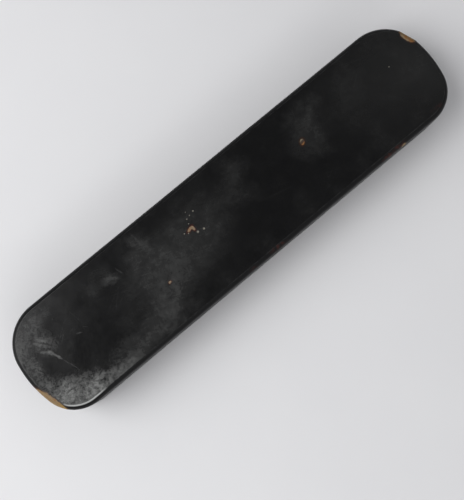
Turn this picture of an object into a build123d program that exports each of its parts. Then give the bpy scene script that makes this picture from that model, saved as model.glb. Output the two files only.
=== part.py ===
from build123d import *
import math
import os

# A long, narrow lacquered box for pencils, with a lid that lifts straight off.
# The frame: X runs along the length, Y across, Z up from the surface that the box
# stands on. The origin is at the middle of the underside. All sizes are in mm.

# Outside of the closed box, seen from above
LENGTH = 225.0
WIDTH = 49.8
HEIGHT = 22.0
END_RADIUS = 54.0       # the gently bowed ends
CORNER_RADIUS = 19.5    # the large round corners beside them

# Where the lid parts from the base
SEAM_HEIGHT = 12.8
SEAM_EASING = 0.25      # both edges at the seam are just broken

# Lid
CROWN = 0.6             # rise of the top across its width
LID_BOARD = 3.3         # thickness of the top board at the rim, under the crown
SHOULDER_RADIUS = 3.0
SHOULDER_CREASE = 18.0  # degrees by which the shoulder breaks away from the top
LID_WALL = 2.1
LID_LINING = 0.5

# Base
BASE_BOARD = 2.4
BOTTOM_EASING = 0.8
BASE_WALL = 2.4
FLOOR_LINING = 0.6

# The collar that locates the lid, glued inside the base wall
COLLAR = 1.2
COLLAR_STANDS_PROUD = 4.2
COLLAR_LEAD_IN = 0.5
LINING_EDGE_GAP = 0.1

# The low cross wall of the well, with a scooped top edge for the fingers
PARTITION_X = 66.0
PARTITION = 1.8
PARTITION_RISE = 9.0
SCOOP_WIDTH = 24.0
SCOOP_DEPTH = 3.2

# The grooved bar that pencils lie on
REST_X = -76.0
REST_LENGTH = 9.0
REST_RISE = 5.2
GROOVES = 4
GROOVE_RADIUS = 4.2
GROOVE_PITCH = 10.2
GROOVE_DEPTH = 3.0
REST_EASING = 0.4

# Worked out from the sizes above
LID_RIM_HEIGHT = HEIGHT - CROWN
LID_BOARD_UNDERSIDE = LID_RIM_HEIGHT - LID_BOARD
FLOOR_HEIGHT = BASE_BOARD + FLOOR_LINING
CREASE_DROP = SHOULDER_RADIUS * (1 - math.cos(math.radians(SHOULDER_CREASE)))
COLLAR_INSET = BASE_WALL
INSIDE_INSET = BASE_WALL + COLLAR
INSIDE_WIDTH = WIDTH - 2 * INSIDE_INSET
END_CENTRE_X = LENGTH / 2 - END_RADIUS
CORNER_CENTRE_Y = WIDTH / 2 - CORNER_RADIUS
CORNER_CENTRE_X = END_CENTRE_X + math.sqrt(
    (END_RADIUS - CORNER_RADIUS) ** 2 - CORNER_CENTRE_Y ** 2
)
CORNER_TURN = math.atan2(CORNER_CENTRE_Y, CORNER_CENTRE_X - END_CENTRE_X)


def on_corner(inset, angle, end, side):
    """A point on one of the four corner arcs, at an angle from the X axis."""
    radius = CORNER_RADIUS - inset
    x = CORNER_CENTRE_X + radius * math.cos(angle)
    y = CORNER_CENTRE_Y + radius * math.sin(angle)
    return (end * x, side * y)


def plan(inset):
    """The box seen from above, as a face, brought in by an inset all round."""
    square = math.pi / 2
    halfway = (CORNER_TURN + square) / 2
    tip = LENGTH / 2 - inset
    edges = []
    for end in (1, -1):
        low = [on_corner(inset, turn, end, -end) for turn in (square, halfway, CORNER_TURN)]
        high = [on_corner(inset, turn, end, end) for turn in (CORNER_TURN, halfway, square)]
        edges.append(ThreePointArc(*low))
        edges.append(ThreePointArc(low[-1], (end * tip, 0), high[0]))
        edges.append(ThreePointArc(*high))
        edges.append(Line(high[-1], on_corner(inset, square, -end, end)))
    return make_face(Wire(edges))


def slab(inset, bottom, top):
    """A solid plate with the plan of the box, between two heights."""
    return extrude(Pos(0, 0, bottom) * plan(inset), top - bottom)


def ring(outer_inset, inner_inset, bottom, top):
    """A wall that follows the plan of the box, between two heights."""
    return slab(outer_inset, bottom, top) - slab(inner_inset, bottom, top)


def outer_edges_at(solid, height):
    """The edges at one height that run round the outside of a ring."""
    level = [e for e in solid.edges() if abs(e.center().Z - height) < 0.01]
    outside = min(inset_of(e @ 0.5) for e in level)
    return [e for e in level if inset_of(e @ 0.5) < outside + 0.05]


def inset_of(point):
    """How far inside the plan of the box a point lies."""
    x = abs(point.X)
    y = abs(point.Y)
    if x <= CORNER_CENTRE_X:
        return WIDTH / 2 - y
    if math.atan2(y, x - END_CENTRE_X) <= CORNER_TURN:
        return END_RADIUS - math.hypot(x - END_CENTRE_X, y)
    return CORNER_RADIUS - math.hypot(x - CORNER_CENTRE_X, y - CORNER_CENTRE_Y)


def crowned(solid, rise):
    """A solid cut to the top's curve across the width, raised by a little."""
    half = WIDTH / 2
    radius = (half ** 2 + CROWN ** 2) / (2 * CROWN)
    log = Cylinder(radius, LENGTH * 1.2, rotation=(0, 90, 0))
    return solid & Pos(0, 0, HEIGHT + rise - radius) * log


def make_lid_panel():
    """The top board: crowned across its width, with a rounded shoulder.

    The shoulder is rounded on a board that is a little too high. Cutting the top down
    then leaves a crisp crease where the shoulder meets it.
    """
    board = crowned(slab(0, LID_BOARD_UNDERSIDE, HEIGHT + 2), CREASE_DROP)
    rim = [e for e in board.edges() if e.center().Z > LID_RIM_HEIGHT]
    return crowned(fillet(rim, SHOULDER_RADIUS), 0)


def make_lid_wall():
    """The lid's wall, with its lower edge broken where it meets the base."""
    wall = ring(0, LID_WALL, SEAM_HEIGHT, LID_BOARD_UNDERSIDE)
    return chamfer(outer_edges_at(wall, SEAM_HEIGHT), SEAM_EASING)


def make_lid_lining():
    """The thin sheet inside the lid."""
    top = LID_BOARD_UNDERSIDE
    return slab(LID_WALL + LINING_EDGE_GAP, top - LID_LINING, top)


def make_base_panel():
    """The bottom board, with its lower edge eased."""
    board = slab(0, 0, BASE_BOARD)
    return fillet([e for e in board.edges() if e.center().Z < 0.01], BOTTOM_EASING)


def make_base_wall():
    """The base's wall, with its upper edge broken where the lid sits."""
    wall = ring(0, BASE_WALL, BASE_BOARD, SEAM_HEIGHT)
    return chamfer(outer_edges_at(wall, SEAM_HEIGHT), SEAM_EASING)


def make_collar():
    """The inner ring, tapered at its top so that the lid finds its way on."""
    top = SEAM_HEIGHT + COLLAR_STANDS_PROUD
    collar = ring(COLLAR_INSET, INSIDE_INSET, BASE_BOARD, top)
    return chamfer(outer_edges_at(collar, top), COLLAR_LEAD_IN)


def make_floor_lining():
    """The thin sheet on the bottom board."""
    return slab(INSIDE_INSET + LINING_EDGE_GAP, BASE_BOARD, FLOOR_HEIGHT)


def make_well_partition():
    """The low cross wall, scooped in the middle of its top edge."""
    top = FLOOR_HEIGHT + PARTITION_RISE
    wall = Pos(PARTITION_X, 0, (FLOOR_HEIGHT + top) / 2) * Box(
        PARTITION, INSIDE_WIDTH, PARTITION_RISE
    )
    scoop_radius = ((SCOOP_WIDTH / 2) ** 2 + SCOOP_DEPTH ** 2) / (2 * SCOOP_DEPTH)
    scoop = Cylinder(scoop_radius, PARTITION * 3, rotation=(0, 90, 0))
    return wall - Pos(PARTITION_X, 0, top - SCOOP_DEPTH + scoop_radius) * scoop


def make_pencil_rest():
    """The bar across the floor, with a round groove for each pencil."""
    top = FLOOR_HEIGHT + REST_RISE
    bar = Pos(REST_X, 0, (FLOOR_HEIGHT + top) / 2) * Box(REST_LENGTH, INSIDE_WIDTH, REST_RISE)
    upper_edges = [e for e in bar.edges().filter_by(Axis.Y) if e.center().Z > top - 0.01]
    bar = fillet(upper_edges, REST_EASING)
    groove = Cylinder(GROOVE_RADIUS, REST_LENGTH * 2, rotation=(0, 90, 0))
    for number in range(GROOVES):
        y = (number - (GROOVES - 1) / 2) * GROOVE_PITCH
        bar -= Pos(REST_X, y, top - GROOVE_DEPTH + GROOVE_RADIUS) * groove
    return bar


MAKERS = {
    "lid_panel": make_lid_panel,
    "lid_wall": make_lid_wall,
    "lid_lining": make_lid_lining,
    "base_panel": make_base_panel,
    "base_wall": make_base_wall,
    "collar": make_collar,
    "floor_lining": make_floor_lining,
    "well_partition": make_well_partition,
    "pencil_rest": make_pencil_rest,
}

os.makedirs("parts", exist_ok=True)
for node, make in MAKERS.items():
    export_step(make(), f"parts/{node}.step")
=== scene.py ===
import math

import bmesh
import bpy
from mathutils import Matrix, Vector, noise


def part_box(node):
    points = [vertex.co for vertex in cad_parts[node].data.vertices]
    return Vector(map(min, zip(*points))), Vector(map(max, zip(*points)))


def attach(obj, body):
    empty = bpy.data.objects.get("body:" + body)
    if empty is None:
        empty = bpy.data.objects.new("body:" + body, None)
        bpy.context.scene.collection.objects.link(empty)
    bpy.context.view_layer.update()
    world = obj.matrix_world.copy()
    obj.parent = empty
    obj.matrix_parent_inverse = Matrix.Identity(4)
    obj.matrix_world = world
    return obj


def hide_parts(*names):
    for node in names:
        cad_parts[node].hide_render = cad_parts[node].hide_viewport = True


# A worn black lacquer pencil box, red inside, with a lid that lifts off.
# Sizes are in mm in the box's own frame and become metres when a mesh is made.

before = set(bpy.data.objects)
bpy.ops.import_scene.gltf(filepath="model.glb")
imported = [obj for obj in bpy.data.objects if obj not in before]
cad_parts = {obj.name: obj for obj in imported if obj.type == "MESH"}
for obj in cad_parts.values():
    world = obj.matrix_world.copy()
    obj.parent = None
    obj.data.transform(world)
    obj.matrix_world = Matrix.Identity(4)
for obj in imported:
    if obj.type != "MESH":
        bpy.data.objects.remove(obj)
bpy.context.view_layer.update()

MM = 0.001


def top_of(node):
    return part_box(node)[1].z / MM


def bottom_of(node):
    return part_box(node)[0].z / MM


# The outline seen from above, and the heights where the pieces meet
LENGTH = 225.0
WIDTH = 49.8
END_RADIUS = 54.0
BACK_CORNER_RADIUS = 19.5
FRONT_CORNER_RADIUS = 16.6    # the photographed corners on this side are a little fuller
HEIGHT = top_of("lid_panel")
CROWN = 0.6
SHOULDER_RADIUS = 3.0
SHOULDER_TURN = 72      # degrees of the round before it breaks off at the crease
LID_BOARD_UNDERSIDE = bottom_of("lid_panel")
SEAM_HEIGHT = bottom_of("lid_wall")
BASE_BOARD_TOP = top_of("base_panel")
FLOOR_LINING_TOP = top_of("floor_lining")
COLLAR_TOP = top_of("collar")
LID_LINING_BOTTOM = bottom_of("lid_lining")
LID_WALL = 2.1
BASE_WALL = 2.4
COLLAR = 1.2
LINING_EDGE_GAP = 0.1

# How far the edges are rounded
SEAM_EASING = 0.25
BOTTOM_EASING = 0.8
COLLAR_OUTER_ROUND = 0.6
COLLAR_INNER_ROUND = 0.5
LINING_ROUND = 0.25
PARTITION_EASING = 0.45
REST_EASING = 0.30
SHARP_ANGLE = 38        # degrees above which an edge is shaded as a crease

END_CENTRE_X = LENGTH / 2 - END_RADIUS
CROWN_RADIUS = ((WIDTH / 2) ** 2 + CROWN ** 2) / (2 * CROWN)
SHOULDER_WIDTH = SHOULDER_RADIUS * (1 - math.cos(math.radians(SHOULDER_TURN)))
SPINE_X = LENGTH / 2 - WIDTH / 2    # the spine runs this far each way from the middle
EVEN_INSET = 12.0       # insets up to this one run square to the rim

# The hand-made surface: how far it wanders in from the true shape, and over what length.
# The seeds make the lid and the base wander differently.
WANDER = 0.07
WANDER_LENGTH = 34.0
LID_SEED = 3.0
BASE_SEED = 61.0

# How far apart the points stand round the rim
LID_SPACING = 0.6
BASE_SPACING = 0.8
COLLAR_SPACING = 1.0
LINING_SPACING = 1.2

# Chips on the rim, cut into the mesh: place, reach along, across and down, turn in degrees, depth
RIM_CHIPS = {
    "well_end": ((109.6, 11.3, 20.8), (4.6, 2.5, 2.4), 102, 0.40),
    "far_end": ((-109.9, -12.6, 20.3), (9.6, 2.4, 2.8), 103.7, 0.14),
    "front_nick": ((76.6, -24.9, 19.6), (1.2, 0.7, 1.2), 0, 0.25),
}
# Small chips on the top, made by colour and bump alone: place, reach, turn
SPLIT_CHIP = ((42.5, 4.6, 21.9), (1.55, 1.10, 1.0), 50)
TOP_CHIPS = {
    "upper_leg": ((-19.3, 6.35, 21.9), (1.75, 0.72, 1.0), 19),
    "lower_leg": ((-17.95, 5.85, 21.9), (1.35, 0.68, 1.0), -87),
    "low": ((-40.3, -5.8, 21.9), (0.80, 0.52, 1.0), 10),
}
# Specks where only the topmost coat is gone, and one dent with a painted highlight: place and radius
SPECKS_AND_DENT_HIGHLIGHT = [
    ((-17.4, 3.3), 0.50),
    ((-14.5, 2.7), 0.48),
    ((-22.5, 6.3), 0.30),
    ((-21.0, 5.3), 0.24),
    ((-18.3, 8.5), 0.24),
    ((-17.6, 10.5), 0.26),
    ((-15.7, 11.1), 0.22),
    ((-13.3, 11.6), 0.34),
    ((-16.2, 13.3), 0.18),
    # A small dent: its pale is a painted highlight
    ((93.9, 5.8), 0.22),
]
# Places on the rim that are rubbed to a dark red: place, reach, share
RIM_RUBS = [
    ((71.0, -24.0, 20.6), (8.0, 1.6, 1.8), 0.65),
    ((5.3, -23.6, 21.0), (5.5, 1.2, 1.5), 0.50),
    ((-9.0, -24.2, 20.6), (3.0, 1.0, 1.4), 0.35),
    ((98.0, -21.5, 21.0), (4.0, 1.4, 1.6), 0.18),
]


def steps(low, high, spacing):
    """Evenly spread values from low to high, both included."""
    count = max(1, round(abs(high - low) / spacing))
    return [low + (high - low) * i / count for i in range(count + 1)]


def flipped(v, along, across):
    return Vector((v.x * along, v.y * across, v.z))


def rim_half(spacing, corner_radius):
    """The rim from the tip at +X round to the tip at -X, with one radius for both its corners."""
    centre_y = WIDTH / 2 - corner_radius
    centre_x = END_CENTRE_X + math.sqrt((END_RADIUS - corner_radius) ** 2 - centre_y ** 2)
    corner_turn = math.atan2(centre_y, centre_x - END_CENTRE_X)
    quarter = []
    for turn in steps(0, corner_turn, spacing / END_RADIUS)[:-1]:
        out = Vector((math.cos(turn), math.sin(turn), 0))
        quarter.append((Vector((END_CENTRE_X, 0, 0)) + out * END_RADIUS, out))
    for turn in steps(corner_turn, math.pi / 2, spacing / corner_radius)[:-1]:
        out = Vector((math.cos(turn), math.sin(turn), 0))
        quarter.append((Vector((centre_x, centre_y, 0)) + out * corner_radius, out))
    for x in steps(centre_x, 0, spacing):
        quarter.append((Vector((x, WIDTH / 2, 0)), Vector((0, 1, 0))))
    return quarter + [(flipped(p, -1, 1), flipped(n, -1, 1)) for p, n in reversed(quarter[:-1])]


def rim_columns(spacing):
    """Places round the rim, anticlockwise from the tip at +X, each with its outward direction."""
    back = rim_half(spacing, BACK_CORNER_RADIUS)
    front = rim_half(spacing, FRONT_CORNER_RADIUS)
    return back + [(flipped(p, 1, -1), flipped(n, 1, -1)) for p, n in reversed(front[1:-1])]


def inset_point(column, inset):
    """A point in from the rim: square to it at first, then drawn towards the box's spine."""
    place, out = column
    if inset <= EVEN_INSET:
        return place - out * inset
    start = place - out * EVEN_INSET
    spine = Vector((max(-SPINE_X, min(SPINE_X, place.x)), 0, 0))
    share = (inset - EVEN_INSET) / (WIDTH / 2 - EVEN_INSET)
    return start.lerp(spine, share)


def crown_height(y):
    return HEIGHT - CROWN_RADIUS + math.sqrt(CROWN_RADIUS ** 2 - y ** 2)


def wander(p, seed):
    """How far the hand-made surface lies inside the true one, in mm, from 0 to WANDER."""
    slow = noise.noise(Vector((p.x + seed, p.y, p.z)) / WANDER_LENGTH)
    quick = noise.noise(Vector((p.x, p.y + seed, p.z)) / (WANDER_LENGTH * 0.3))
    return WANDER * max(0.0, min(1.0, 0.5 + 0.6 * slow + 0.25 * quick))


def chip_closeness(p, chip):
    """1 at the middle of a chip, 0 at its rim and beyond."""
    centre, reach, turn, *_ = chip
    offset = Matrix.Rotation(-math.radians(turn), 3, "Z") @ (p - Vector(centre))
    distance = Vector((offset.x / reach[0], offset.y / reach[1], offset.z / reach[2])).length
    distance += 0.22 * noise.noise(p * 0.9)
    return max(0.0, min(1.0, (1 - distance) / 0.3))


def carved(p, inward, chips):
    """A point moved in where a chip has taken the lacquer and some of the ground."""
    deepest = max((chip_closeness(p, chip) * chip[3] for chip in chips.values()), default=0.0)
    if deepest == 0.0:
        return p
    rough = 1 + 0.35 * noise.noise(p * 1.7)
    return p + inward * deepest * rough


class Ring:
    """One loop of points round the box: its inset, its height, and how much wear its edge gets.

    Under the crown, the height is how far the loop lies below the lid's top.
    """

    def __init__(self, inset, height, arris=0.0, under_crown=False, uneven=True, crease=0.0):
        self.inset = inset
        self.height = height
        self.arris = arris
        self.crease = crease
        self.under_crown = under_crown
        self.uneven = uneven

    def point(self, column, seed, chips):
        p = inset_point(column, self.inset)
        p.z = crown_height(p.y) - self.height if self.under_crown else self.height
        if not self.uneven:
            return p
        steep = max(0.0, 1 - self.inset / SHOULDER_WIDTH)
        flat = 1 - steep if self.under_crown else 0.0
        give = wander(p, seed)
        inward = -column[1]
        p = p + inward * give * steep + Vector((0, 0, -give * flat))
        return carved(p, (inward + Vector((0, 0, -1))).normalized(), chips)


def ring_mesh(name, rings, spacing, closed_profile, seed=0.0, chips=None, side_rings=0):
    """A mesh lofted through rings. An open profile starts and ends on the box's spine.

    The first side_rings bands take the piece's second finish.
    """
    columns = rim_columns(spacing)
    count = len(columns)
    points = []
    worn = []
    creased = []
    depth = []
    for ring in rings:
        for column in columns:
            points.append(ring.point(column, seed, chips or {}) * MM)
            worn.append(ring.arris)
            creased.append(ring.crease)
            depth.append(ring.inset)
    faces = []
    loops = len(rings) if closed_profile else len(rings) - 1
    for r in range(loops):
        here = r * count
        above = (r + 1) % len(rings) * count
        for i in range(count):
            j = (i + 1) % count
            faces.append((here + i, here + j, above + j, above + i))
    mesh = bpy.data.meshes.new(name)
    mesh.from_pydata(points, [], faces)
    for face in mesh.polygons[:side_rings * count]:
        face.material_index = 1
    for label, values in (("arris", worn), ("crease", creased), ("rim_depth", depth)):
        layer = mesh.attributes.new(label, "FLOAT", "POINT")
        layer.data.foreach_set("value", values)
    close_seams(mesh)
    return shown(name, mesh)


def close_seams(mesh):
    """Joins the points that meet on the spine and drops the faces that close up there."""
    work = bmesh.new()
    work.from_mesh(mesh)
    bmesh.ops.remove_doubles(work, verts=work.verts, dist=0.002 * MM)
    bmesh.ops.dissolve_degenerate(work, edges=work.edges, dist=0.001 * MM)
    work.to_mesh(mesh)
    work.free()


def shown(name, mesh):
    """Puts a mesh in the scene, smooth but for its creases."""
    mesh.polygons.foreach_set("use_smooth", [True] * len(mesh.polygons))
    mesh.set_sharp_from_angle(angle=math.radians(SHARP_ANGLE))
    mesh.update()
    piece = bpy.data.objects.new(name, mesh)
    bpy.context.scene.collection.objects.link(piece)
    return piece


def make_lid_top():
    """The crowned top board: its rounded shoulder, the crease where that meets the top, its chips."""
    underside = steps(WIDTH / 2, 0.0, 4.0)[:-1]
    rings = [Ring(inset, LID_BOARD_UNDERSIDE, uneven=False) for inset in underside]
    rings.append(Ring(0.0, LID_BOARD_UNDERSIDE))
    full_drop = SHOULDER_RADIUS * math.sin(math.radians(SHOULDER_TURN))
    for turn in steps(0, SHOULDER_TURN - 9, 7) + [SHOULDER_TURN - 3, SHOULDER_TURN]:
        a = math.radians(turn)
        inset = SHOULDER_RADIUS * (1 - math.cos(a))
        drop = full_drop - SHOULDER_RADIUS * math.sin(a)
        crease = 1.0 if turn == SHOULDER_TURN else 0.0
        rings.append(Ring(inset, drop, under_crown=True, crease=crease))
    side_rings = len(rings) - 1
    beside_crease = SHOULDER_WIDTH + 0.14
    rings.append(Ring(beside_crease, 0.0, under_crown=True))
    top = steps(beside_crease, EVEN_INSET, 0.7)[1:] + steps(EVEN_INSET, WIDTH / 2, 1.4)[1:]
    rings += [Ring(inset, 0.0, under_crown=True) for inset in top]
    return ring_mesh("lid_top_lacquered", rings, LID_SPACING, False, LID_SEED, RIM_CHIPS, side_rings)


def wall_rings(inner, low, high, eased_low, eased_high):
    """The closed profile of a wall, from its inner lower edge round by the outside."""
    rings = [Ring(inner, low, uneven=False)]
    if eased_low:
        rings += eased_edge(low, 1)
    else:
        rings.append(Ring(0.0, low))
    rings += [Ring(0.0, z) for z in steps(low + SEAM_EASING * 2, high - SEAM_EASING * 2, 1.1)]
    if eased_high:
        rings += reversed(eased_edge(high, -1))
    else:
        rings.append(Ring(0.0, high))
    rings.append(Ring(inner, high, uneven=False))
    return rings


def eased_edge(height, upwards):
    """The outer edge at a seam, rounded over a small radius, from the seam outwards."""
    rings = []
    for turn in steps(0, 90, 22.5):
        a = math.radians(turn)
        inset = SEAM_EASING * (1 - math.sin(a))
        rise = SEAM_EASING * (1 - math.cos(a))
        rings.append(Ring(inset, height + upwards * rise, 1.0 if turn < 90 else 0.4))
    return rings


def make_lid_wall():
    rings = wall_rings(LID_WALL, SEAM_HEIGHT, LID_BOARD_UNDERSIDE, True, False)
    return ring_mesh("lid_wall_lacquered", rings, LID_SPACING, True, LID_SEED, RIM_CHIPS)


def make_base_wall():
    rings = wall_rings(BASE_WALL, BASE_BOARD_TOP, SEAM_HEIGHT, False, True)
    return ring_mesh("base_wall_lacquered", rings, BASE_SPACING, True, BASE_SEED)


def make_base_bottom():
    """The bottom board: flat underneath, with an eased edge that is worn by standing."""
    rings = [Ring(inset, 0.0, uneven=False) for inset in steps(WIDTH / 2, BOTTOM_EASING, 2.0)]
    for turn in steps(15, 90, 15):
        a = math.radians(turn)
        inset = BOTTOM_EASING * (1 - math.sin(a))
        height = BOTTOM_EASING * (1 - math.cos(a))
        rings.append(Ring(inset, height, math.sin(2 * a) if turn < 90 else 0.0))
    rings.append(Ring(0.0, BASE_BOARD_TOP))
    rings += [Ring(inset, BASE_BOARD_TOP, uneven=False) for inset in steps(1.0, WIDTH / 2, 6.0)]
    return ring_mesh("base_bottom_lacquered", rings, BASE_SPACING, False, BASE_SEED)


def make_collar():
    """The thin inner ring, rounded along its top, with a lead-in on the outside."""
    inside = BASE_WALL + COLLAR
    rings = [Ring(inside, BASE_BOARD_TOP), Ring(BASE_WALL, BASE_BOARD_TOP)]
    rings += [Ring(BASE_WALL, z) for z in steps(BASE_BOARD_TOP + 1, COLLAR_TOP - 0.7, 1.5)]
    for turn in steps(0, 90, 22.5):
        a = math.radians(turn)
        inset = BASE_WALL + COLLAR_OUTER_ROUND * (1 - math.cos(a))
        rings.append(Ring(inset, COLLAR_TOP - COLLAR_OUTER_ROUND * (1 - math.sin(a)), 1.0))
    for turn in steps(90, 0, 30):
        a = math.radians(turn)
        inset = inside - COLLAR_INNER_ROUND * (1 - math.cos(a))
        rings.append(Ring(inset, COLLAR_TOP - COLLAR_INNER_ROUND * (1 - math.sin(a)), 0.8))
    rings += [Ring(inside, z) for z in steps(COLLAR_TOP - 0.8, BASE_BOARD_TOP + 1, 1.5)]
    return ring_mesh("collar_lacquered", rings, COLLAR_SPACING, True)


def make_lining(name, edge_inset, bottom, top, faces_up):
    """A lining sheet, softly rounded at the edge of its free face."""
    lower = [Ring(inset, bottom) for inset in steps(WIDTH / 2, edge_inset + LINING_ROUND, 2.0)]
    upper = [Ring(inset, top) for inset in steps(edge_inset + LINING_ROUND, WIDTH / 2, 2.0)]
    corner = LINING_ROUND * 0.3
    if faces_up:
        edge = [
            Ring(edge_inset, bottom),
            Ring(edge_inset, top - LINING_ROUND),
            Ring(edge_inset + corner, top - corner),
        ]
    else:
        edge = [
            Ring(edge_inset + corner, bottom + corner),
            Ring(edge_inset, bottom + LINING_ROUND),
            Ring(edge_inset, top),
        ]
    return ring_mesh(name, lower + edge + upper, LINING_SPACING, False)


def make_eased_copy(name, node, easing):
    """A CAD node with its sharp edges rounded."""
    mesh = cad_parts[node].data.copy()
    mesh.materials.clear()
    work = bmesh.new()
    work.from_mesh(mesh)
    bmesh.ops.remove_doubles(work, verts=work.verts, dist=0.001 * MM)
    bmesh.ops.dissolve_limit(work, angle_limit=math.radians(2), verts=work.verts, edges=work.edges)
    work.to_mesh(mesh)
    work.free()
    piece = shown(name, mesh)
    rounding = piece.modifiers.new("eased_edges", "BEVEL")
    rounding.width = easing * MM
    rounding.segments = 3
    rounding.limit_method = "ANGLE"
    rounding.angle_limit = math.radians(40)
    return piece


class Finish:
    """A material whose nodes are written as calls. Positions in it are in mm."""

    def __init__(self, name):
        self.material = bpy.data.materials.new(name)
        self.material.use_nodes = True
        self.tree = self.material.node_tree
        self.tree.nodes.clear()
        self.place = self.mapped(self.node("ShaderNodeTexCoord", {}).outputs["Object"], scale=(1000,) * 3)

    def node(self, kind, inputs, **settings):
        made = self.tree.nodes.new(kind)
        for label, value in settings.items():
            setattr(made, label, value)
        for label, value in inputs.items():
            self.feed(made.inputs[label], value)
        return made

    def feed(self, socket, value):
        if isinstance(value, bpy.types.NodeSocket):
            self.tree.links.new(value, socket)
        else:
            socket.default_value = value

    def mapped(self, vector, scale=(1, 1, 1), turn=0.0, centre=(0, 0, 0), style="POINT"):
        rotation = (0, 0, math.radians(turn))
        inputs = {"Vector": vector, "Location": centre, "Rotation": rotation, "Scale": scale}
        return self.node("ShaderNodeMapping", inputs, vector_type=style).outputs["Vector"]

    def sum(self, kind, a, b=0.0):
        return self.node("ShaderNodeMath", {0: a, 1: b}, operation=kind).outputs[0]

    def plus(self, a, b):
        return self.sum("ADD", a, b)

    def times(self, a, b):
        return self.sum("MULTIPLY", a, b)

    def larger(self, a, b):
        return self.sum("MAXIMUM", a, b)

    def apart(self, a, b):
        return self.sum("ABSOLUTE", self.sum("SUBTRACT", a, b))

    def fade(self, value, start, end, low=0.0, high=1.0):
        """Low at start and high at end, with a smooth turn between."""
        inputs = {"Value": value, "From Min": start, "From Max": end, "To Min": low, "To Max": high}
        if start > end:
            inputs.update({"From Min": end, "From Max": start, "To Min": high, "To Max": low})
        return self.node("ShaderNodeMapRange", inputs, interpolation_type="SMOOTHSTEP").outputs["Result"]

    def mottle(self, vector, grain, detail=3.0, roughness=0.55, distortion=0.0):
        """Soft noise from 0 to 1, with blotches about one grain across, in mm."""
        inputs = {"Vector": vector, "Scale": 1.0 / grain, "Detail": detail, "Roughness": roughness,
                  "Distortion": distortion}
        return self.node("ShaderNodeTexNoise", inputs)

    def cloud(self, vector, grain, **more):
        return self.mottle(vector, grain, **more).outputs["Fac"]

    def streaks(self, vector, along, across, turn, low, high, **more):
        """Fine lines that run one way: noise drawn out along them, cut to its peaks."""
        drawn = self.mapped(vector, scale=(along, across, across), turn=turn, style="TEXTURE")
        return self.fade(self.cloud(drawn, 1.0, **more), low, high)

    def hairlines(self, vector, along, across, turn, thinness):
        """Broken hairline scratches: thin level lines of drawn-out noise."""
        drawn = self.mapped(vector, scale=(along, across, across), turn=turn, style="TEXTURE")
        level = self.cloud(drawn, 1.0, detail=1.0)
        return self.fade(self.apart(level, 0.5), thinness, 0.0)

    def reach(self, vector, centre, radii, turn=0.0):
        """Distance from a place, 1 on the ellipsoid with those radii."""
        local = self.mapped(vector, scale=radii, turn=turn, centre=centre, style="TEXTURE")
        return self.node("ShaderNodeVectorMath", {0: local}, operation="LENGTH").outputs["Value"]

    def blend(self, share, a, b):
        made = self.tree.nodes.new("ShaderNodeMix")
        made.data_type = "RGBA"
        self.feed(made.inputs[0], share)
        self.feed(made.inputs[6], colour(a))
        self.feed(made.inputs[7], colour(b))
        return made.outputs[2]

    def attribute(self, label):
        return self.node("ShaderNodeAttribute", {}, attribute_name=label).outputs["Fac"]

    def warped(self, vector, grain, amount, **more):
        """The same places, pushed about by noise, so that edges come out ragged."""
        push = self.mottle(vector, grain, **more).outputs["Color"]
        centred = self.vectors("SUBTRACT", push, (0.5,) * 3)
        return self.vectors("ADD", vector, self.vectors("MULTIPLY", centred, (amount,) * 3))

    def vectors(self, kind, a, b):
        return self.node("ShaderNodeVectorMath", {0: a, 1: b}, operation=kind).outputs[0]

    def bumped(self, height, depth, under=None):
        """A bump whose height of 1 stands depth mm proud."""
        inputs = {"Height": height, "Strength": 1.0, "Distance": depth * MM}
        if under is not None:
            inputs["Normal"] = under
        return self.node("ShaderNodeBump", inputs).outputs["Normal"]

    def done(self, **sockets):
        shader = self.node("ShaderNodeBsdfPrincipled", {})
        for label, value in sockets.items():
            self.feed(shader.inputs[label.replace("_", " ")], value)
        output = self.node("ShaderNodeOutputMaterial", {})
        self.tree.links.new(shader.outputs[0], output.inputs["Surface"])
        return self.material


def colour(value):
    return (*value, 1.0) if isinstance(value, tuple) and len(value) == 3 else value


# Marks on the top are read in flat ellipsoids, at about the top's height and deep enough for its crown
HAZE_HEIGHT = 21.5
HAZE_DEPTH = 14.0
MARK_HEIGHT = 21.8
MARK_DEPTH = 3.0
# Haze on the lid, rubbed bloom with painted sheen of the light over the far end: place, reach, turn,
# strength, where 1 is the whitest bloom
HAZE_AND_SHEEN = [
    ((-99.0, -18.4), (15.0, 8.4), -8, 0.47),
    ((-85.5, -21.5), (16.0, 5.0), 0, 0.33),
    ((-62.0, -21.0), (18.0, 4.5), 3, 0.050),
    ((-45.0, -19.5), (13.0, 4.5), 3, 0.045),
    ((-107.5, 4.0), (5.0, 19.0), 0, 0.14),
    ((-104.0, -12.0), (6.0, 9.0), 10, 0.20),
    ((-99.0, 16.5), (12.0, 5.0), 12, 0.12),
    ((-97.0, 8.0), (6.0, 5.0), 30, 0.10),
    ((-64.0, 14.5), (8.0, 5.0), 10, 0.050),
    ((-60.0, -5.0), (13.0, 9.0), 0, 0.028),
    ((-58.5, 11.5), (4.0, 2.6), -30, 0.085),
    ((-62.0, -16.0), (24.0, 6.0), 3, 0.07),
    ((-42.0, 1.0), (15.0, 16.0), 20, 0.088),
    ((-20.0, 2.0), (24.0, 15.0), 25, 0.062),
    ((-40.5, 15.5), (3.0, 7.0), 15, 0.07),
    ((-47.0, -12.0), (13.0, 6.0), 15, 0.06),
    ((12.0, 13.5), (8.0, 5.0), 10, 0.040),
    ((5.0, 7.0), (8.0, 8.0), 10, 0.045),
    ((13.0, 0.0), (4.0, 6.0), 25, 0.030),
    ((45.0, 3.5), (10.0, 9.0), 35, 0.055),
    ((50.0, 13.5), (12.0, 7.0), 10, 0.050),
    ((25.5, -13.5), (4.0, 4.0), 0, 0.030),
]
# Smooth even paleness with no marks in it: place, reach, strength
VEILS = [
    ((92.0, 3.0), (44.0, 34.0), 0.050),
    ((106.0, -6.0), (14.0, 26.0), 0.030),
    ((-26.0, 3.0), (32.0, 22.0), 0.027),
]
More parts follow.
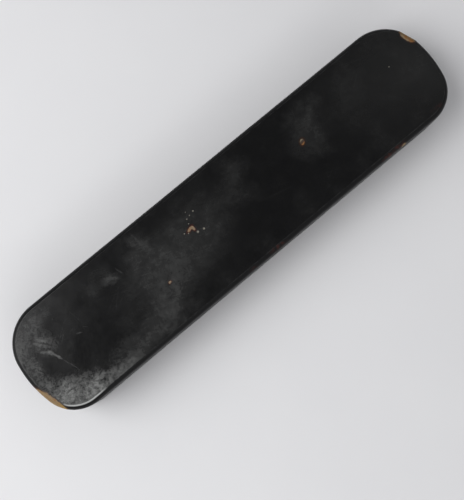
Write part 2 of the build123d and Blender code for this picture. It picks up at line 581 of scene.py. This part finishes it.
# Dark, still glossy places that the haze leaves out: place, reach, turn, share
CLEAR = [
    ((-79.0, -1.5), (15.0, 12.0), 20, 0.85),
    ((-88.0, 8.0), (5.0, 4.0), 0, 0.40),
    ((-101.0, 2.8), (2.6, 3.6), 20, 0.60),
    ((-103.5, -5.5), (3.0, 5.0), 20, 0.45),
    ((-105.0, 7.0), (3.5, 3.0), 0, 0.40),
    ((22.0, -8.0), (22.0, 12.0), 0, 0.60),
]
# Pale smears and drag marks: two ends, half width, strength
STROKES = [
    ((-99.8, 12.6), (-95.4, 7.4), 0.45, 0.42),
    ((-101.2, 11.6), (-97.0, 6.8), 0.30, 0.38),
    ((-100.4, 9.8), (-97.6, 6.4), 0.28, 0.34),
    ((-101.0, 6.4), (-98.8, 4.6), 0.50, 0.34),
    ((-98.6, 4.8), (-96.6, 2.0), 0.55, 0.62),
    ((-96.8, 2.2), (-95.3, -1.8), 0.34, 0.60),
    ((-95.4, -1.8), (-92.4, -10.2), 0.16, 0.17),
    ((-84.4, 2.8), (-82.0, 1.6), 0.22, 0.12),
    ((-80.6, 3.4), (-78.6, 1.8), 0.14, 0.07),
    ((-81.0, 13.0), (-79.4, 4.0), 0.12, 0.05),
    ((-60.6, 13.2), (-55.6, 9.4), 0.55, 0.11),
    ((-54.4, 13.8), (-53.4, 9.6), 0.30, 0.12),
    ((-40.0, 22.0), (-39.6, 13.6), 0.35, 0.07),
]

BLACK = (0.0034, 0.0034, 0.0036)
# The pale grey of rubbed bloom, scratches and dust, and on the lid also of painted sheen
BLOOM_AND_SHEEN = (0.153, 0.155, 0.151)
# Painted highlights on the lid's crease: a faint line all round, and a bright one at the far end's front
# corner
PAINTED_CREASE_HIGHLIGHT = (0.34, 0.35, 0.35)
PAINTED_CORNER_HIGHLIGHT = (0.62, 0.63, 0.62)
GOLDEN_GROUND = (0.30, 0.19, 0.055)
PALE_TAN = (0.27, 0.205, 0.125)
TAN = (0.22, 0.155, 0.085)
LEG_TAN = (0.185, 0.135, 0.085)
ORANGE_BROWN = (0.21, 0.090, 0.024)
LAYER_BROWN = (0.110, 0.056, 0.022)
DARK_BROWN = (0.028, 0.013, 0.008)
SPECK_AND_DENT_HIGHLIGHT_CREAM = (0.20, 0.185, 0.150)
RUBBED_RED = (0.060, 0.016, 0.012)
RUBBED_BROWN = (0.055, 0.026, 0.014)
CHIP_BORDER_RED = (0.040, 0.012, 0.009)
SPLIT_TAN = (0.19, 0.155, 0.10)

INSIDE_RED = (0.125, 0.012, 0.009)
BRUSHED_RED = (0.185, 0.022, 0.015)
HOLLOW_RED = (0.055, 0.007, 0.006)
WORN_EDGE_DARK = (0.020, 0.008, 0.006)
SCRATCH_PINK = (0.30, 0.085, 0.06)
PAPER_RED = (0.105, 0.012, 0.009)
FIBRE_RED = (0.150, 0.020, 0.014)
STAIN = (0.048, 0.010, 0.008)
GRAPHITE = (0.045, 0.040, 0.040)
FLOOR_GREY = (0.70, 0.70, 0.715)
FLOOR_PALE = (0.74, 0.74, 0.75)

# How strongly each lacquer mirrors its surroundings: the sides are duller than the top
TOP_REFRACTION = 1.42
SIDE_REFRACTION = 1.22
RED_REFRACTION = 1.5
PAPER_REFRACTION = 1.45


def wisps(f):
    """The texture of rubbing, about 1 on average: curled and crisp at the far end, finer elsewhere."""
    far_end = f.fade(f.reach(f.place, (-110.0, -2.0, 21.0), (46.0, 60.0, 30.0)), 1.0, 0.6)
    curled = f.warped(f.place, 4.5, 2.0, detail=4.0, roughness=0.65)
    crumbs = f.cloud(curled, 1.7, detail=6.0, roughness=0.74, distortion=0.5)
    level = f.cloud(curled, 3.4, detail=3.0, roughness=0.6)
    ridge = f.fade(f.apart(level, 0.5), 0.050, 0.0)
    scuffs = f.larger(
        f.streaks(curled, 6.0, 0.55, -20, 0.50, 0.72, detail=4.0, roughness=0.65),
        f.larger(
            f.streaks(curled, 5.0, 0.50, 76, 0.52, 0.74, detail=4.0, roughness=0.65),
            f.streaks(curled, 7.0, 0.50, 25, 0.54, 0.76, detail=4.0, roughness=0.65),
        ),
    )
    crisp = f.plus(f.fade(crumbs, 0.38, 0.64, 0.22, 1.46), f.times(ridge, 0.28))
    soft = f.fade(crumbs, 0.34, 0.70, 0.74, 1.16)
    mark = f.plus(f.times(crisp, far_end), f.times(soft, f.sum("SUBTRACT", 1.0, far_end)))
    return f.plus(mark, f.times(scuffs, f.fade(far_end, 0.0, 1.0, 0.50, 0.46)))


def near_patch(f, places, centre, reach, turn=0.0):
    """Distance from a patch on the top, 1 at the edge of its reach."""
    return f.reach(places, (*centre, HAZE_HEIGHT), (*reach, HAZE_DEPTH), turn)


def haze_and_sheen_on_lid(f):
    """How much pale lies on the lid's top, from 0 to 1: rubbed haze, with painted sheen of the light that
    grows towards the far end.
    """
    ragged = f.warped(f.place, 8.0, 8.0, detail=5.0, roughness=0.66)
    bloom_and_sheen = 0.0
    for centre, reach, turn, strength in HAZE_AND_SHEEN:
        near = near_patch(f, ragged, centre, reach, turn)
        bloom_and_sheen = f.plus(bloom_and_sheen, f.fade(near, 1.25, 0.35, 0.0, strength))
    faint = f.fade(f.cloud(ragged, 15.0, detail=4.0, roughness=0.6), 0.42, 0.72, 0.0, 0.030)
    bloom_and_sheen = f.plus(bloom_and_sheen, faint)
    for centre, reach, turn, share in CLEAR:
        near = near_patch(f, ragged, centre, reach, turn)
        bloom_and_sheen = f.times(bloom_and_sheen, f.fade(near, 1.2, 0.55, 1.0, 1.0 - share))
    # Painted sheen: a little pale everywhere, growing towards the far end
    from_far_end = f.reach(f.place, (-112.0, 0.0, HAZE_HEIGHT), (60.0, 60.0, 30.0))
    bloom_and_sheen = f.plus(bloom_and_sheen, f.fade(from_far_end, 1.0, 0.4, 0.009, 0.015))
    patchy = f.fade(f.cloud(ragged, 4.5, detail=4.0, roughness=0.6), 0.30, 0.70, 0.66, 1.24)
    bloom_and_sheen = f.times(f.times(bloom_and_sheen, patchy), wisps(f))
    for start, end, half_width, strength in STROKES:
        bloom_and_sheen = f.plus(bloom_and_sheen, stroke(f, start, end, half_width, strength))
    for centre, reach, strength in VEILS:
        near = near_patch(f, f.place, centre, reach)
        bloom_and_sheen = f.plus(bloom_and_sheen, f.fade(near, 1.15, 0.0, 0.0, strength))
    on_top = f.fade(f.attribute("rim_depth"), SHOULDER_WIDTH - 0.25, SHOULDER_WIDTH + 0.15)
    return f.times(bloom_and_sheen, on_top)


def stroke(f, start, end, half_width, strength):
    """A pale drag mark between two places on the top, broken along its length."""
    a = Vector(start)
    b = Vector(end)
    run = b - a
    middle = (a + b) / 2
    turn = math.degrees(math.atan2(run.y, run.x))
    bent = f.warped(f.place, 2.2, 0.9, detail=3.0, roughness=0.65)
    radii = (run.length * 0.58, half_width * 1.7, MARK_DEPTH)
    near = f.reach(bent, (middle.x, middle.y, MARK_HEIGHT), radii, turn)
    broken = f.fade(f.cloud(f.place, 0.8, detail=4.0, roughness=0.7), 0.36, 0.60, 0.12, 1.0)
    return f.times(f.fade(near, 1.15, 0.30, 0.0, strength), broken)


def chip_mask(f, chips, sharpness=0.14, outline=1.28, grain=1.1, raggedness=0.55):
    """Two masks of the chips, both with a crumbled edge: the chips, and the same a little wider."""
    crumble = f.warped(f.place, grain, raggedness, detail=4.0, roughness=0.65)
    inside = 0.0
    border = 0.0
    for centre, reach, turn, *_ in chips:
        near = f.reach(crumble, centre, reach, turn)
        inside = f.larger(inside, f.fade(near, 1.0, 1.0 - sharpness))
        border = f.larger(border, f.fade(near, outline, 1.0))
    return inside, border


def bare_ground(f, surface):
    """The surface with its chips put in, how bare each place is, and the ground's own mottle."""
    tone = f.cloud(f.place, 0.8, detail=4.0, roughness=0.7)
    layered = f.cloud(f.warped(f.place, 1.5, 1.0, detail=3.0), 2.4, detail=3.0)
    outer_edge = f.fade(f.attribute("rim_depth"), 1.1, 0.3)
    rim_ground = f.blend(f.fade(layered, 0.38, 0.52), ORANGE_BROWN, TAN)
    rim_ground = f.blend(f.times(outer_edge, 0.8), rim_ground, PALE_TAN)
    lower_end = f.fade(f.reach(f.place, (-107.0, -21.0, 20.5), (5.0, 7.0, 6.0)), 1.15, 0.4)
    rim_ground = f.blend(f.times(lower_end, 0.75), rim_ground, GOLDEN_GROUND)
    layers = f.streaks(f.place, 9.0, 0.60, 104, 0.40, 0.75, detail=3.0)
    rim_ground = f.blend(f.times(layers, 0.5), rim_ground, LAYER_BROWN)
    rim_ground = f.blend(f.fade(tone, 0.52, 0.80, 0.0, 0.3), rim_ground, DARK_BROWN)
    rim_inside, rim_border = chip_mask(f, RIM_CHIPS.values(), outline=1.22, grain=2.6, raggedness=1.9)
    surface = f.blend(f.times(rim_border, 0.85), surface, DARK_BROWN)
    surface = f.blend(rim_inside, surface, rim_ground)

    top_ground = f.blend(f.fade(tone, 0.30, 0.50), ORANGE_BROWN, LEG_TAN)
    top_inside, top_border = chip_mask(f, TOP_CHIPS.values(), 0.30, 1.75)
    surface = f.blend(f.times(top_border, 0.85), surface, CHIP_BORDER_RED)
    surface = f.blend(top_inside, surface, top_ground)

    x, y, z = SPLIT_CHIP[0]
    split_inside, split_border = chip_mask(f, [SPLIT_CHIP], 0.25, 1.7)
    across = f.reach(f.place, (x, y - 3.0, z), (3.0, 3.0, 3.0))
    split_ground = f.blend(f.fade(across, 0.88, 1.05), ORANGE_BROWN, SPLIT_TAN)
    crack = f.fade(f.reach(f.place, (x, y, z), (2.8, 0.75, 2.0), 12), 1.1, 0.6)
    split_ground = f.blend(f.times(crack, 0.9), split_ground, DARK_BROWN)
    surface = f.blend(f.times(split_border, 0.8), surface, DARK_BROWN)
    surface = f.blend(split_inside, surface, split_ground)
    bare = f.larger(f.larger(rim_inside, top_inside), split_inside)
    return surface, bare, tone


def pale_specks_and_dent_highlight(f):
    """1 where a speck of the top coat is gone, ragged and broken, and on one dent's painted highlight."""
    crumble = f.warped(f.place, 0.8, 0.35, detail=2.0)
    mark = 0.0
    for (x, y), radius in SPECKS_AND_DENT_HIGHLIGHT:
        near = f.reach(crumble, (x, y, MARK_HEIGHT), (radius, radius, MARK_DEPTH))
        mark = f.larger(mark, f.fade(near, 1.25, 0.55))
    return mark


def worn_rim_and_painted_highlight(f, surface):
    """The lid's rim: a painted highlight along the crease, brightest at the far end's front corner, and
    dark red where it is rubbed through.
    """
    # Painted highlight: a faint, broken pale line along the crease
    thin = f.fade(f.attribute("crease"), 0.25, 0.85)
    broken = f.fade(f.cloud(f.place, 3.0, detail=4.0, roughness=0.6), 0.40, 0.62, 0.15, 1.0)
    surface = f.blend(f.times(f.times(thin, broken), 0.085), surface, PAINTED_CREASE_HIGHLIGHT)
    # Painted highlight: a brighter, wider line on the crease at the far end's front corner
    corner_highlight_reach = f.fade(f.reach(f.place, (-99.5, -22.0, 21.2), (11.5, 6.0, 8.0), -16), 1.1, 0.55)
    from_crease = f.apart(f.attribute("rim_depth"), SHOULDER_WIDTH - 0.05)
    wide = f.fade(from_crease, 0.48, 0.15)
    surface = f.blend(f.times(f.times(wide, corner_highlight_reach), 0.55), surface, PAINTED_CORNER_HIGHLIGHT)
    for centre, reach, share in RIM_RUBS:
        near = f.reach(f.warped(f.place, 3.0, 2.2, detail=4.0, roughness=0.65), centre, reach)
        patchy = f.fade(f.cloud(f.place, 1.4, detail=4.0), 0.42, 0.60)
        surface = f.blend(f.times(f.fade(near, 1.1, 0.4, 0.0, share), patchy), surface, RUBBED_RED)
    return surface


def black_lacquer(name, lid, refraction):
    """Worn black lacquer: bloom, hairlines, dust, rubbed edges, and on the lid its haze with painted
    sheen, a painted highlight on the crease, and its chips.
    """
    f = Finish(name)
    grime = f.cloud(f.place, 11.0, detail=4.0)
    if lid:
        bloom_and_sheen = haze_and_sheen_on_lid(f)
    else:
        bloom_and_sheen = f.times(f.fade(grime, 0.45, 0.75, 0.0, 0.022), wisps(f))
    scratches = f.larger(
        f.hairlines(f.place, 120.0, 7.0, -17, 0.0045),
        f.hairlines(f.place, 90.0, 6.0, 33, 0.0040),
    )
    scratches = f.times(scratches, f.fade(f.cloud(f.place, 24.0, detail=2.0), 0.46, 0.62))
    cells = f.node("ShaderNodeTexVoronoi", {"Vector": f.place, "Scale": 0.24, "Randomness": 1.0})
    chosen = f.sum("GREATER_THAN", f.sum("FRACT", f.times(cells.outputs["Color"], 7.31)), 0.80)
    dust = f.times(f.fade(cells.outputs["Distance"], 0.050, 0.02), chosen)
    pale = f.plus(bloom_and_sheen, f.plus(f.times(scratches, 0.012), f.times(dust, 0.10)))
    # The pale layer: bloom, scratches and dust, and on the lid also painted sheen of the light
    surface = f.blend(f.sum("MINIMUM", pale, 1.0), BLACK, BLOOM_AND_SHEEN)

    rub_noise = f.cloud(f.place, 5.5, detail=5.0, roughness=0.62)
    rubbed = f.times(f.fade(f.attribute("arris"), 0.45, 0.95), f.fade(rub_noise, 0.60, 0.70))
    rub_tint = f.blend(f.cloud(f.place, 2.2), RUBBED_BROWN, RUBBED_RED)
    surface = f.blend(f.times(rubbed, 0.75), surface, rub_tint)
    if lid:
        surface = worn_rim_and_painted_highlight(f, surface)

    roughness = f.plus(f.fade(grime, 0.3, 0.7, 0.18, 0.25), f.fade(bloom_and_sheen, 0.0, 0.35, 0.0, 0.22))
    handled = f.fade(f.attribute("rim_depth"), SHOULDER_WIDTH, SHOULDER_WIDTH * 0.6, 0.0, 0.20)
    roughness = f.plus(roughness, handled)
    roughness = f.plus(roughness, f.times(scratches, 0.04))
    roughness = f.plus(roughness, f.times(rubbed, 0.25))

    normal = f.bumped(f.cloud(f.place, 3.2, detail=2.0), 0.022)
    normal = f.bumped(f.cloud(f.place, 0.35, detail=2.0), 0.003, normal)
    normal = f.bumped(f.plus(f.times(scratches, 0.25), rubbed), -0.012, normal)
    if lid:
        surface, bare, tone = bare_ground(f, surface)
        mark = pale_specks_and_dent_highlight(f)
        # Pale specks, and one painted highlight in a dent
        surface = f.blend(f.times(mark, 0.85), surface, SPECK_AND_DENT_HIGHLIGHT_CREAM)
        roughness = f.plus(roughness, f.times(f.larger(bare, mark), 0.45))
        normal = f.bumped(f.larger(bare, mark), -0.10, normal)
        normal = f.bumped(f.times(bare, tone), 0.10, normal)
    return f.done(Base_Color=surface, Roughness=roughness, Normal=normal, IOR=refraction)


def red_lacquer(name):
    """Dark red lacquer of the inside, brushed, with darker hollows and rubbed edges."""
    f = Finish(name)
    brushed = f.streaks(f.place, 60.0, 1.1, 0, 0.35, 0.75, detail=4.0)
    pool = f.cloud(f.place, 16.0, detail=4.0)
    surface = f.blend(brushed, INSIDE_RED, BRUSHED_RED)
    surface = f.blend(f.fade(pool, 0.45, 0.72, 0.0, 0.6), surface, HOLLOW_RED)
    rub_noise = f.fade(f.cloud(f.place, 4.0, detail=5.0), 0.50, 0.60)
    rubbed = f.times(f.fade(f.attribute("arris"), 0.5, 1.0), rub_noise)
    surface = f.blend(f.times(rubbed, 0.8), surface, WORN_EDGE_DARK)
    scratches = f.hairlines(f.place, 34.0, 2.4, 4, 0.012)
    surface = f.blend(f.times(scratches, 0.35), surface, SCRATCH_PINK)
    roughness = f.plus(f.fade(pool, 0.3, 0.7, 0.26, 0.40), f.times(rubbed, 0.2))
    normal = f.bumped(f.cloud(f.place, 2.6, detail=3.0), 0.030)
    normal = f.bumped(brushed, 0.008, normal)
    return f.done(Base_Color=surface, Roughness=roughness, Normal=normal, IOR=RED_REFRACTION)


def lining_paper(name):
    """Red lacquered paper: long fibres, a soft sheen, and marks of graphite and use."""
    f = Finish(name)
    fibre_a = f.streaks(f.place, 5.0, 0.22, 25, 0.50, 0.75, detail=3.0)
    fibre_b = f.streaks(f.place, 4.0, 0.20, -48, 0.50, 0.75, detail=3.0)
    fibres = f.larger(fibre_a, fibre_b)
    surface = f.blend(fibres, PAPER_RED, FIBRE_RED)
    stain = f.fade(f.cloud(f.place, 22.0, detail=4.0), 0.48, 0.72, 0.0, 0.65)
    surface = f.blend(stain, surface, STAIN)
    graphite = f.streaks(f.place, 26.0, 0.6, 1, 0.60, 0.78, detail=4.0)
    surface = f.blend(f.times(graphite, 0.45), surface, GRAPHITE)
    roughness = f.fade(f.cloud(f.place, 4.0, detail=3.0), 0.3, 0.7, 0.46, 0.60)
    normal = f.bumped(f.cloud(f.place, 9.0, detail=2.0), 0.09)
    normal = f.bumped(fibres, 0.020, normal)
    return f.done(Base_Color=surface, Roughness=roughness, Normal=normal, IOR=PAPER_REFRACTION)


def fitted(piece, body, nodes, slot, *materials):
    """Gives a piece its finish and its body, and hides the CAD nodes it stands for."""
    for material in materials:
        piece.data.materials.append(material)
    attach(piece, body)
    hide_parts(*nodes)


# The lid's two finishes carry painted sheen on the top and painted highlights on the crease
lid_black = black_lacquer("worn_black_lacquer_lid_painted_light", lid=True, refraction=TOP_REFRACTION)
side_black = black_lacquer("dull_black_lacquer_lid_side_painted_light", lid=True, refraction=SIDE_REFRACTION)
base_black = black_lacquer("dull_black_lacquer_base", lid=False, refraction=SIDE_REFRACTION)
inside_red = red_lacquer("dark_red_lacquer")
paper_red = lining_paper("red_lacquered_paper")
inside_edge = BASE_WALL + COLLAR + LINING_EDGE_GAP
lid_inside_edge = LID_WALL + LINING_EDGE_GAP

fitted(make_lid_top(), "lid", ["lid_panel"], "black_lacquer", lid_black, side_black)
fitted(make_lid_wall(), "lid", ["lid_wall"], "black_lacquer", side_black)
fitted(make_base_wall(), "base", ["base_wall"], "black_lacquer", base_black)
fitted(make_base_bottom(), "base", ["base_panel"], "black_lacquer", base_black)
fitted(make_collar(), "base", ["collar"], "red_lacquer", inside_red)
fitted(
    make_lining("floor_paper", inside_edge, BASE_BOARD_TOP, FLOOR_LINING_TOP, faces_up=True),
    "base", ["floor_lining"], "lining_paper", paper_red,
)
fitted(
    make_lining("lid_paper", lid_inside_edge, LID_LINING_BOTTOM, LID_BOARD_UNDERSIDE, faces_up=False),
    "lid", ["lid_lining"], "lining_paper", paper_red,
)
fitted(make_eased_copy("well_partition_lacquered", "well_partition", PARTITION_EASING), "base",
       ["well_partition"], "red_lacquer", inside_red)
fitted(make_eased_copy("pencil_rest_lacquered", "pencil_rest", REST_EASING), "base",
       ["pencil_rest"], "red_lacquer", inside_red)


# The floor, sky and lamps, in metres and watts. Angles are in degrees.
FLOOR_REACH = 4.0
FLOOR_DROP = 0.0001     # keeps the floor from sharing a face with the box's underside
# The sky's shade by the sine of the elevation: 0 is the horizon, 1 is straight up
SKY = [
    (0.0, (0.50, 0.50, 0.51)),
    (0.5, (0.58, 0.58, 0.59)),
    (0.86, (0.122, 0.122, 0.126)),
    (1.0, (0.088, 0.088, 0.092)),
]
# Lamps: name, azimuth, elevation, distance, width, height, power
LAMPS = [
    ("window", 152, 43, 0.9, 0.8, 0.8, 7.7),
    ("fill", -82, 46, 1.1, 1.3, 1.3, 2.1),
    ("low_window", 242, 36, 1.0, 0.8, 0.08, 1.0),
]


def make_floor():
    """A pale plain surface that takes the shadow."""
    f = Finish("pale_floor")
    surface = f.blend(f.cloud(f.place, 60.0, detail=3.0), FLOOR_GREY, FLOOR_PALE)
    material = f.done(Base_Color=surface, Roughness=0.9)
    corners = [(x * FLOOR_REACH, y * FLOOR_REACH, 0) for x, y in ((-1, -1), (1, -1), (1, 1), (-1, 1))]
    mesh = bpy.data.meshes.new("floor")
    mesh.from_pydata(corners, [], [(0, 1, 2, 3)])
    floor = bpy.data.objects.new("floor", mesh)
    bpy.context.scene.collection.objects.link(floor)
    floor.location.z = -FLOOR_DROP
    mesh.materials.append(material)


def make_sky():
    """Soft light from all round, pale at the horizon and dim overhead."""
    world = bpy.data.worlds.new("studio")
    bpy.context.scene.world = world
    world.use_nodes = True
    tree = world.node_tree
    tree.nodes.clear()
    coordinates = tree.nodes.new("ShaderNodeTexCoord")
    split = tree.nodes.new("ShaderNodeSeparateXYZ")
    ramp = tree.nodes.new("ShaderNodeValToRGB")
    background = tree.nodes.new("ShaderNodeBackground")
    output = tree.nodes.new("ShaderNodeOutputWorld")
    stops = ramp.color_ramp.elements
    for position, _ in SKY[1:-1]:
        stops.new(position)
    for stop, (position, shade) in zip(stops, SKY):
        stop.position = position
        stop.color = colour(shade)
    tree.links.new(coordinates.outputs["Generated"], split.inputs[0])
    tree.links.new(split.outputs["Z"], ramp.inputs[0])
    tree.links.new(ramp.outputs[0], background.inputs["Color"])
    tree.links.new(background.outputs[0], output.inputs["Surface"])


def make_lamp(name, azimuth, elevation, distance, width, height, power):
    """A soft lamp that faces the box. Its width lies level."""
    data = bpy.data.lights.new(name, "AREA")
    data.shape = "RECTANGLE"
    data.size = width
    data.size_y = height
    data.energy = power
    lamp = bpy.data.objects.new(name, data)
    bpy.context.scene.collection.objects.link(lamp)
    flat = math.cos(math.radians(elevation))
    away = Vector((
        flat * math.cos(math.radians(azimuth)),
        flat * math.sin(math.radians(azimuth)),
        math.sin(math.radians(elevation)),
    ))
    lamp.location = away * distance
    lamp.rotation_euler = away.to_track_quat("Z", "Y").to_euler()


# The camera: almost straight above, turned so that the box lies across the picture
CAMERA_AIM = (-9.457, -10.499, 0.0)
CAMERA_DISTANCE = 346.878
CAMERA_TILT = 6.2       # degrees away from straight above
CAMERA_SIDE = 222.0     # the azimuth it is tilted towards
PICTURE_UP = 50.062     # the azimuth that is up in the picture
FOCAL_PIXELS = 760.0
PICTURE_HEIGHT = 500.0
SENSOR_HEIGHT = 24.0


def make_camera():
    data = bpy.data.cameras.new("camera")
    data.sensor_fit = "VERTICAL"
    data.sensor_height = SENSOR_HEIGHT
    data.lens = FOCAL_PIXELS / PICTURE_HEIGHT * SENSOR_HEIGHT
    data.clip_start = 0.01
    camera = bpy.data.objects.new("camera", data)
    bpy.context.scene.collection.objects.link(camera)
    tilt = math.radians(CAMERA_TILT)
    side = math.radians(CAMERA_SIDE)
    back = Vector((math.cos(side) * math.sin(tilt), math.sin(side) * math.sin(tilt), math.cos(tilt)))
    towards_up = Vector((math.cos(math.radians(PICTURE_UP)), math.sin(math.radians(PICTURE_UP)), 0))
    right = (-back).cross(towards_up).normalized()
    up = right.cross(-back)
    place = (Vector(CAMERA_AIM) + back * CAMERA_DISTANCE) * MM
    turn = Matrix((right, up, back)).transposed().to_4x4()
    camera.matrix_world = Matrix.Translation(place) @ turn
    bpy.context.scene.camera = camera


make_floor()
make_sky()
for lamp in LAMPS:
    make_lamp(*lamp)
make_camera()

bpy.context.scene.view_settings.view_transform = "Standard"
